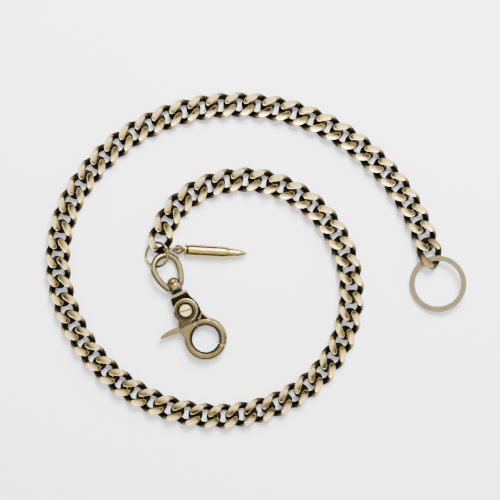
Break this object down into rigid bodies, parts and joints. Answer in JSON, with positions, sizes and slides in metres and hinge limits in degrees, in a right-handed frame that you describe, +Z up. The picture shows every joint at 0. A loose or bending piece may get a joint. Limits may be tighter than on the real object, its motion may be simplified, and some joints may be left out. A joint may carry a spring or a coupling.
{
  "type": "pocket watch chain",
  "caption": "Heavy ground curb chain laid in a flat spiral, with a swivel trigger clasp, a flat split ring and a small cartridge charm on its own ring.",
  "frame": {"origin": "middle of the bounding box in plan, on the table the chain lies on", "axes": "+X across the longest extent of the laid chain, from the clasp side to the outer turn; +Y towards the top of the spiral; +Z up off the table"},
  "size_m": [0.1489, 0.1192, 0.007],
  "materials": {
    "link_brass": "ground and polished facets over black antique patina",
    "end_brass": "antique brass, darker and duller",
    "ring_brass": "matte flat band",
    "wire_brass": "bright round wire",
    "bail_brass": "antique brass, rubbed bright on top",
    "groove_black": "black patina",
    "rivet_brass": "dark antique brass with a rubbed dome",
    "clasp_brass": "matte antique brass with black patina in the recesses",
    "screw_brass": "bright polished",
    "spring_steel": "plain spring wire",
    "charm_dark": "dark antique brass",
    "charm_brass": "satin brass",
    "nose_brass": "paler satin brass"
  },
  "bodies": {
    "links_01": {"links_01": "link_brass"},
    "links_02": {"links_02": "link_brass"},
    "links_03": {"links_03": "link_brass"},
    "links_04": {"links_04": "link_brass"},
    "links_05": {"links_05": "link_brass"},
    "links_06": {"links_06": "link_brass"},
    "links_07": {"links_07": "link_brass"},
    "links_08": {"links_08": "link_brass"},
    "links_09": {"links_09": "link_brass"},
    "links_10": {"links_10": "link_brass"},
    "links_11": {"links_11": "link_brass"},
    "links_12": {"links_12": "link_brass"},
    "links_13": {"links_13": "link_brass"},
    "links_14": {"links_14": "link_brass"},
    "links_15": {"links_15": "link_brass"},
    "links_16": {"links_16": "link_brass"},
    "links_17": {"links_17": "link_brass"},
    "links_18": {"links_18": "link_brass"},
    "links_19": {"links_19": "link_brass"},
    "links_20": {"links_20": "link_brass"},
    "links_21": {"links_21": "link_brass"},
    "links_22": {"links_22": "link_brass"},
    "links_23": {"links_23": "link_brass"},
    "links_24": {"links_24": "link_brass"},
    "links_25": {"links_25": "link_brass"},
    "links_26": {"links_26": "link_brass"},
    "links_27": {"links_27": "link_brass"},
    "links_28": {"links_28": "link_brass"},
    "links_29": {"links_29": "link_brass"},
    "links_30": {"links_30": "link_brass"},
    "links_31": {"links_31": "link_brass"},
    "links_32": {"links_32": "link_brass"},
    "links_33": {"links_33": "link_brass"},
    "links_34": {"links_34": "link_brass"},
    "end_link": {"end_link": "end_brass"},
    "split_ring": {"split_ring": "ring_brass"},
    "jump_ring": {"clasp_jump_ring": "wire_brass"},
    "bail": {"swivel_bail": "bail_brass"},
    "clasp": {"clasp_body": "clasp_brass", "pivot_screw": "screw_brass", "lever_spring": "spring_steel", "swivel_rivet": "rivet_brass", "swivel_washer": "groove_black"},
    "lever": {"clasp_lever": "clasp_brass"},
    "charm_ring": {"charm_ring": "wire_brass"},
    "charm": {"charm_eye": "charm_dark", "charm_case": "charm_brass", "charm_nose": "nose_brass"}
  },
  "joints": [
    {"name": "link_swing_01", "type": "hinge", "parent": "links_02", "child": "links_01", "pos_m": [-0.02947, 0.01716, 0.002], "axis": [-0.8039, 0.5948, 0], "range_deg": [-10, 10]},
    {"name": "link_swing_02", "type": "hinge", "parent": "links_03", "child": "links_02", "pos_m": [-0.01931, 0.02524, 0.002], "axis": [0, 0, 1], "range_deg": [-12, 7.4]},
    {"name": "link_swing_03", "type": "hinge", "parent": "links_04", "child": "links_03", "pos_m": [-0.00671, 0.02864, 0.002], "axis": [0.0785, -0.9969, 0], "range_deg": [-10, 10]},
    {"name": "link_swing_04", "type": "hinge", "parent": "links_05", "child": "links_04", "pos_m": [0.00626, 0.02725, 0.002], "axis": [0, 0, -1], "range_deg": [-7.4, 12]},
    {"name": "link_swing_05", "type": "hinge", "parent": "links_06", "child": "links_05", "pos_m": [0.01791, 0.02137, 0.002], "axis": [-0.5934, -0.8049, 0], "range_deg": [-10, 10]},
    {"name": "link_swing_06", "type": "hinge", "parent": "links_07", "child": "links_06", "pos_m": [0.02698, 0.01198, 0.002], "axis": [0, 0, -1], "range_deg": [-8.4, 12]},
    {"name": "link_swing_07", "type": "hinge", "parent": "links_08", "child": "links_07", "pos_m": [0.03253, 0.00015, 0.002], "axis": [0.96, 0.2798, 0], "range_deg": [-10, 10]},
    {"name": "link_swing_08", "type": "hinge", "parent": "links_09", "child": "links_08", "pos_m": [0.0342, -0.0128, 0.002], "axis": [0, 0, 1], "range_deg": [-12, 9.1]},
    {"name": "link_swing_09", "type": "hinge", "parent": "links_10", "child": "links_09", "pos_m": [0.03183, -0.02564, 0.002], "axis": [0.9435, -0.3313, 0], "range_deg": [-10, 10]},
    {"name": "link_swing_10", "type": "hinge", "parent": "links_11", "child": "links_10", "pos_m": [0.02565, -0.03715, 0.002], "axis": [0, 0, 1], "range_deg": [-12, 9.1]},
    {"name": "link_swing_11", "type": "hinge", "parent": "links_12", "child": "links_11", "pos_m": [0.01624, -0.04621, 0.002], "axis": [-0.5743, 0.8187, 0], "range_deg": [-10, 10]},
    {"name": "link_swing_12", "type": "hinge", "parent": "links_13", "child": "links_12", "pos_m": [0.0046, -0.05215, 0.002], "axis": [0, 0, -1], "range_deg": [-10.8, 12]},
    {"name": "link_swing_13", "type": "hinge", "parent": "links_14", "child": "links_13", "pos_m": [-0.00817, -0.055, 0.002], "axis": [-0.0941, 0.9956, 0], "range_deg": [-10, 10]},
    {"name": "link_swing_14", "type": "hinge", "parent": "links_15", "child": "links_14", "pos_m": [-0.02123, -0.05459, 0.002], "axis": [0, 0, -1], "range_deg": [-11.5, 12]},
    {"name": "link_swing_15", "type": "hinge", "parent": "links_16", "child": "links_15", "pos_m": [-0.03386, -0.05117, 0.002], "axis": [-0.3689, -0.9295, 0], "range_deg": [-10, 10]},
    {"name": "link_swing_16", "type": "hinge", "parent": "links_17", "child": "links_16", "pos_m": [-0.04539, -0.045, 0.002], "axis": [0, 0, 1], "range_deg": [-12, 11.5]},
    {"name": "link_swing_17", "type": "hinge", "parent": "links_17", "child": "links_18", "pos_m": [-0.05524, -0.03639, 0.002], "axis": [-0.739, -0.6737, 0], "range_deg": [-10, 10]},
    {"name": "link_swing_18", "type": "hinge", "parent": "links_18", "child": "links_19", "pos_m": [-0.0629, -0.02579, 0.002], "axis": [0, 0, 1], "range_deg": [-11.5, 12]},
    {"name": "link_swing_19", "type": "hinge", "parent": "links_19", "child": "links_20", "pos_m": [-0.06798, -0.01374, 0.002], "axis": [0.9596, 0.2815, 0], "range_deg": [-10, 10]},
    {"name": "link_swing_20", "type": "hinge", "parent": "links_20", "child": "links_21", "pos_m": [-0.07005, -0.00084, 0.002], "axis": [0, 0, -1], "range_deg": [-12, 10.1]},
    {"name": "link_swing_21", "type": "hinge", "parent": "links_21", "child": "links_22", "pos_m": [-0.06854, 0.01214, 0.002], "axis": [0.9679, -0.2512, 0], "range_deg": [-10, 10]},
    {"name": "link_swing_22", "type": "hinge", "parent": "links_22", "child": "links_23", "pos_m": [-0.06355, 0.02422, 0.002], "axis": [0, 0, -1], "range_deg": [-12, 10.1]},
    {"name": "link_swing_23", "type": "hinge", "parent": "links_23", "child": "links_24", "pos_m": [-0.05563, 0.03464, 0.002], "axis": [-0.7296, 0.6839, 0], "range_deg": [-10, 10]},
    {"name": "link_swing_24", "type": "hinge", "parent": "links_24", "child": "links_25", "pos_m": [-0.04575, 0.04321, 0.002], "axis": [0, 0, 1], "range_deg": [-12, 12]},
    {"name": "link_swing_25", "type": "hinge", "parent": "links_25", "child": "links_26", "pos_m": [-0.03432, 0.04958, 0.002], "axis": [-0.3947, 0.9188, 0], "range_deg": [-10, 10]},
    {"name": "link_swing_26", "type": "hinge", "parent": "links_26", "child": "links_27", "pos_m": [-0.02185, 0.05355, 0.002], "axis": [0, 0, 1], "range_deg": [-12, 12]},
    {"name": "link_swing_27", "type": "hinge", "parent": "links_27", "child": "links_28", "pos_m": [-0.00887, 0.05516, 0.002], "axis": [0.0305, -0.9995, 0], "range_deg": [-10, 10]},
    {"name": "link_swing_28", "type": "hinge", "parent": "links_28", "child": "links_29", "pos_m": [0.00419, 0.05435, 0.002], "axis": [0, 0, -1], "range_deg": [-12, 12]},
    {"name": "link_swing_29", "type": "hinge", "parent": "links_29", "child": "links_30", "pos_m": [0.01688, 0.05115, 0.002], "axis": [-0.333, -0.9429, 0], "range_deg": [-10, 10]},
    {"name": "link_swing_30", "type": "hinge", "parent": "links_30", "child": "links_31", "pos_m": [0.02877, 0.04567, 0.002], "axis": [0, 0, -1], "range_deg": [-12, 12]},
    {"name": "link_swing_31", "type": "hinge", "parent": "links_31", "child": "links_32", "pos_m": [0.03944, 0.0381, 0.002], "axis": [0.6514, 0.7587, 0], "range_deg": [-10, 10]},
    {"name": "link_swing_32", "type": "hinge", "parent": "links_32", "child": "links_33", "pos_m": [0.04854, 0.02869, 0.002], "axis": [0, 0, 1], "range_deg": [-12, 12]},
    {"name": "link_swing_33", "type": "hinge", "parent": "links_33", "child": "links_34", "pos_m": [0.05575, 0.01777, 0.002], "axis": [0.8817, 0.4718, 0], "range_deg": [-10, 10]},
    {"name": "end_link_swing", "type": "hinge", "parent": "links_34", "child": "end_link", "pos_m": [0.06083, 0.00571, 0.002], "axis": [0, 0, 1], "range_deg": [-12, 12]},
    {"name": "split_ring_turn", "type": "hinge", "parent": "end_link", "child": "split_ring", "pos_m": [0.06454, -0.00822, 0.0024], "axis": [-0.1678, -0.0447, 0.9848], "continuous": true},
    {"name": "jump_ring_swing", "type": "hinge", "parent": "links_01", "child": "jump_ring", "pos_m": [-0.03458, 0.00369, 0.002], "axis": [-0.506, 0.1261, -0.8533], "range_deg": [-3, 12]},
    {"name": "bail_swing", "type": "hinge", "parent": "jump_ring", "child": "bail", "pos_m": [-0.03383, -0.00209, 0.00285], "axis": [0.8984, 0.2647, 0.3505], "range_deg": [-18, 2]},
    {"name": "charm_ring_swing", "type": "hinge", "parent": "jump_ring", "child": "charm_ring", "pos_m": [-0.0314, 0.00429, 0.0036], "axis": [-0.4728, 0.8535, -0.2192], "range_deg": [-18, 6]},
    {"name": "charm_swing", "type": "hinge", "parent": "charm_ring", "child": "charm", "pos_m": [-0.02682, 0.00399, 0.00253], "axis": [-0.3741, -0.1358, -0.9174], "range_deg": [-20, 20]},
    {"name": "clasp_swivel", "type": "hinge", "parent": "bail", "child": "clasp", "pos_m": [-0.02724, -0.01195, 0.0028], "axis": [0.4195, -0.9078, 0], "continuous": true},
    {"name": "lever_pivot", "type": "hinge", "parent": "clasp", "child": "lever", "pos_m": [-0.0246, -0.01767, 0.0028], "axis": [0, 0, 1], "range_deg": [-26, 0], "stiffness_Nm_per_rad": 0.05, "springref_deg": 17.19}
  ]
}
